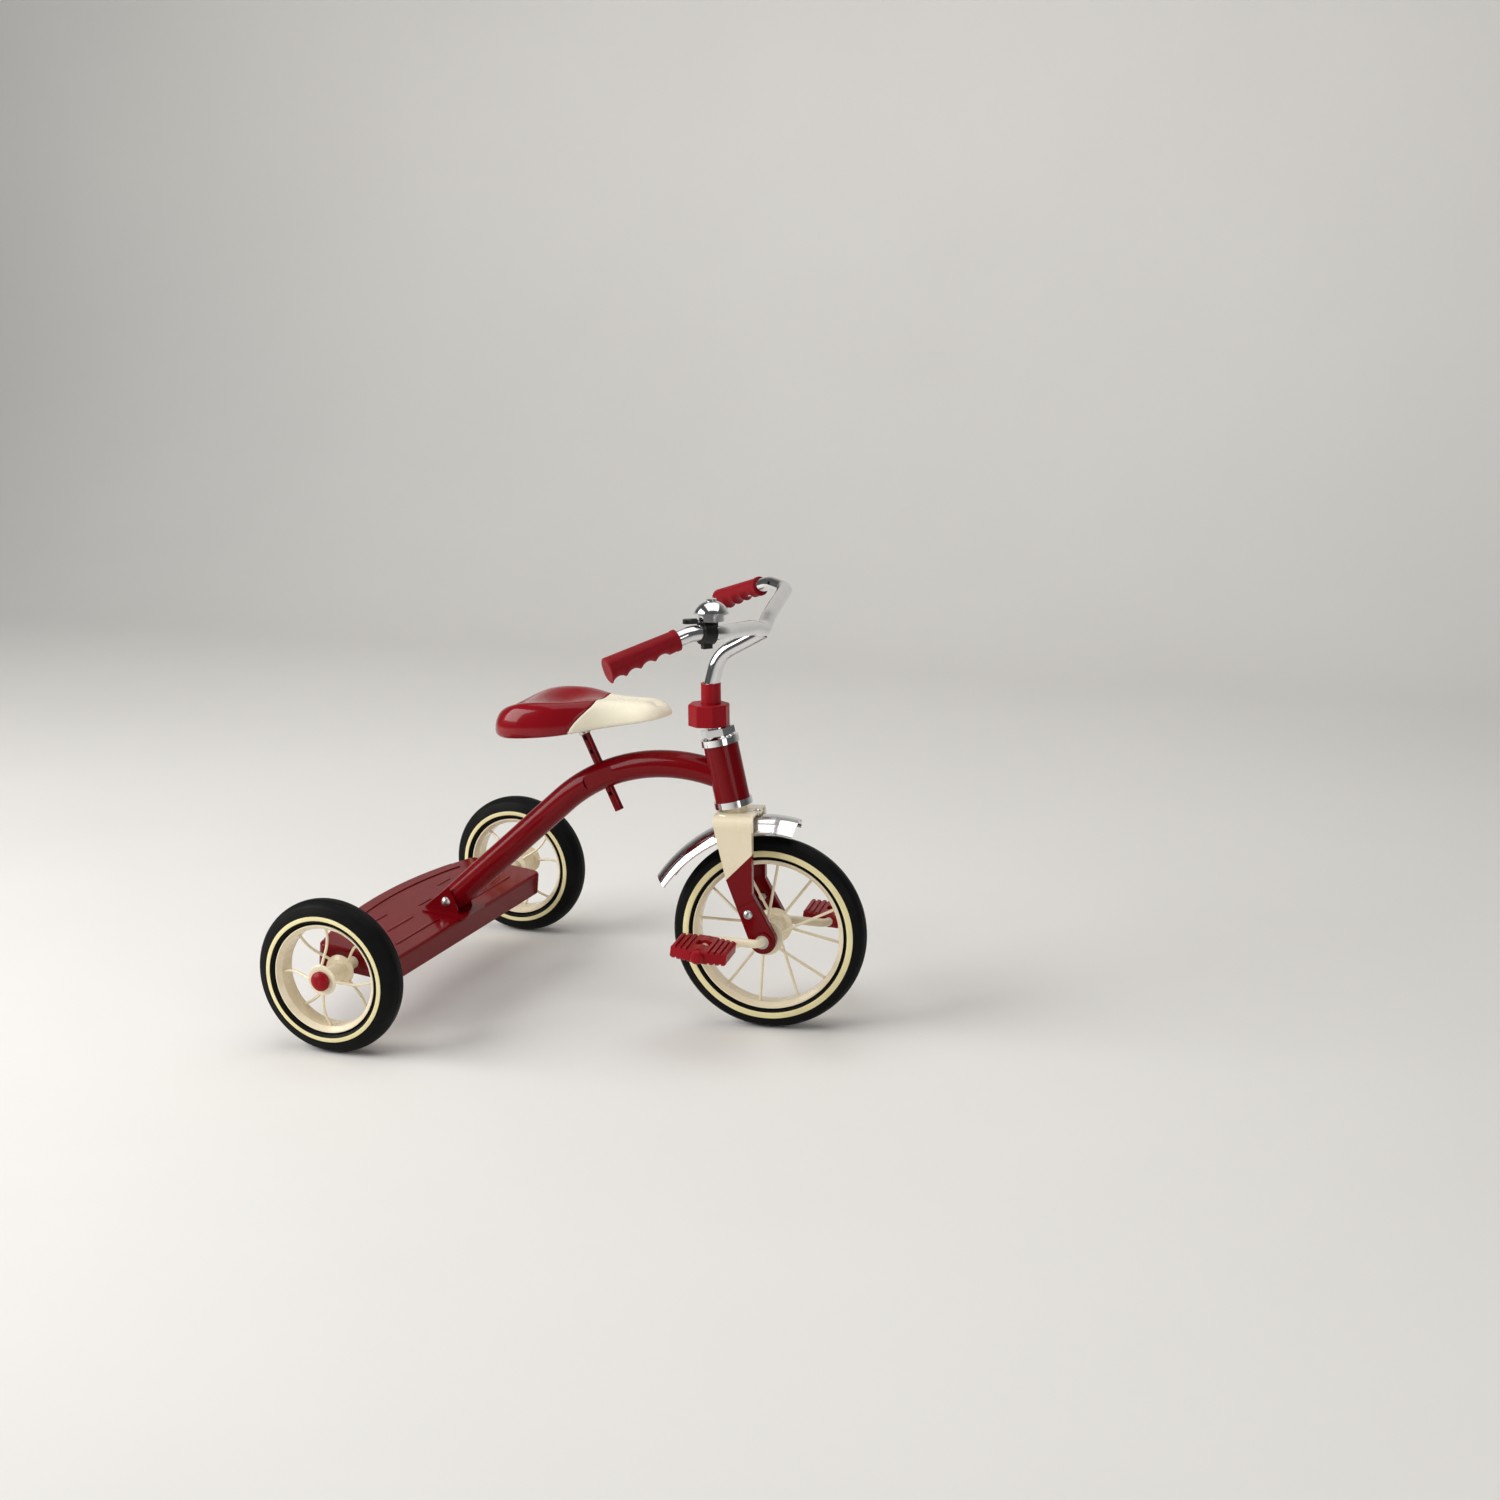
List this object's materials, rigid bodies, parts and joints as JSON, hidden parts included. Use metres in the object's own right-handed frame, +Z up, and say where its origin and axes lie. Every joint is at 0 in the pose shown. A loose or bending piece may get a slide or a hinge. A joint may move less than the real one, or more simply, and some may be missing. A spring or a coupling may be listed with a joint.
{
  "type": "children's tricycle",
  "caption": "Steel children's tricycle: pedals on the front wheel, arched backbone tube, moulded saddle, swept handlebar with grips and bell, chrome fender, stamped rear step plate.",
  "frame": {"origin": "on the floor under the middle of the tricycle, in its middle plane", "axes": "+X forward along the tricycle, +Y to the rider's left, +Z up; the handlebar and front wheel stand turned a little to the left"},
  "size_m": [0.7226, 0.6049, 0.5969],
  "materials": {
    "red_paint": "deep crimson gloss enamel",
    "cream_paint": "cream gloss enamel",
    "chrome": "polished chrome plate",
    "zinc": "bright zinc plated steel",
    "tyre": "black rubber with a white line on each side wall",
    "red_plastic": "moulded red plastic",
    "cream_plastic": "moulded cream plastic",
    "black_plastic": "moulded black plastic",
    "nylon": "white nylon"
  },
  "bodies": {
    "frame": {"backbone_tube": "red_paint", "head_tube": "red_paint", "lower_headset_cup": "chrome", "upper_headset_cup": "chrome", "headset_bushes": "nylon", "rear_deck": "red_paint", "deck_bracket": "red_paint", "frame_bolt": "zinc", "seat_post_screw": "zinc", "rear_axle": "zinc", "axle_spacers": "cream_paint", "axle_caps": "red_plastic"},
    "seat": {"seat_post": "red_paint", "seat_bracket": "zinc", "seat_bolts": "zinc", "saddle_rear": "red_plastic", "saddle_nose": "cream_plastic"},
    "steering": {"fork_crown": "cream_paint", "fork_leg_left": "red_paint", "fork_leg_right": "red_paint", "axle_retainers": "red_paint", "retainer_bolts": "zinc", "front_axle_bushes": "nylon", "front_fender": "chrome", "fender_screw": "chrome", "steerer_tube": "chrome", "headset_locknut": "chrome", "stem_cover": "red_plastic", "stem_bolt": "zinc", "handlebar_stem": "chrome", "handlebar_bar": "chrome", "grip_left": "red_plastic", "grip_right": "red_plastic", "bell_clamp": "black_plastic", "bell_base": "chrome", "bell_dome": "chrome"},
    "bell_lever_body": {"bell_lever": "black_plastic"},
    "front_wheel": {"front_tyre": "tyre", "front_rim": "cream_paint", "front_hub": "cream_paint", "front_spokes": "cream_paint", "crank_axle": "cream_paint", "pedal_caps": "red_plastic"},
    "pedal_left_body": {"pedal_left": "red_plastic"},
    "pedal_right_body": {"pedal_right": "red_plastic"},
    "rear_wheel_left": {"left_rear_tyre": "tyre", "left_rear_rim": "cream_paint", "left_rear_hub": "cream_paint", "left_rear_spokes": "cream_paint", "left_rear_hub_bushes": "nylon"},
    "rear_wheel_right": {"right_rear_tyre": "tyre", "right_rear_rim": "cream_paint", "right_rear_hub": "cream_paint", "right_rear_spokes": "cream_paint", "right_rear_hub_bushes": "nylon"}
  },
  "joints": [
    {"name": "steering_turn", "type": "hinge", "parent": "frame", "child": "steering", "pos_m": [0.187, 0, 0.3014], "axis": [-0.2045, 0, 0.9789], "range_deg": [-54.6, 35.4]},
    {"name": "front_wheel_spin", "type": "hinge", "parent": "steering", "child": "front_wheel", "pos_m": [0.23484, 0.00189, 0.12697], "axis": [-0.1632, 0.986, -0.0341], "continuous": true},
    {"name": "pedal_left_spin", "type": "hinge", "parent": "front_wheel", "child": "pedal_left_body", "pos_m": [0.28044, 0.11771, 0.11979], "axis": [-0.1632, 0.986, -0.0341], "continuous": true},
    {"name": "pedal_right_spin", "type": "hinge", "parent": "front_wheel", "child": "pedal_right_body", "pos_m": [0.18925, -0.11393, 0.13414], "axis": [-0.1632, 0.986, -0.0341], "continuous": true},
    {"name": "rear_wheel_left_spin", "type": "hinge", "parent": "frame", "child": "rear_wheel_left", "pos_m": [-0.261, 0.267, 0.1011], "axis": [0, 1, 0], "continuous": true},
    {"name": "rear_wheel_right_spin", "type": "hinge", "parent": "frame", "child": "rear_wheel_right", "pos_m": [-0.261, -0.267, 0.1011], "axis": [0, 1, 0], "continuous": true},
    {"name": "seat_height", "type": "slide", "parent": "frame", "child": "seat", "axis": [-0.4168, 0, 0.909], "range_m": [0, 0.04]},
    {"name": "bell_lever_press", "type": "hinge", "parent": "steering", "child": "bell_lever_body", "pos_m": [0.2269, -0.20238, 0.57157], "axis": [0.5358, -0.8438, 0.0303], "range_deg": [0, 10], "stiffness_Nm_per_rad": 0.05}
  ]
}
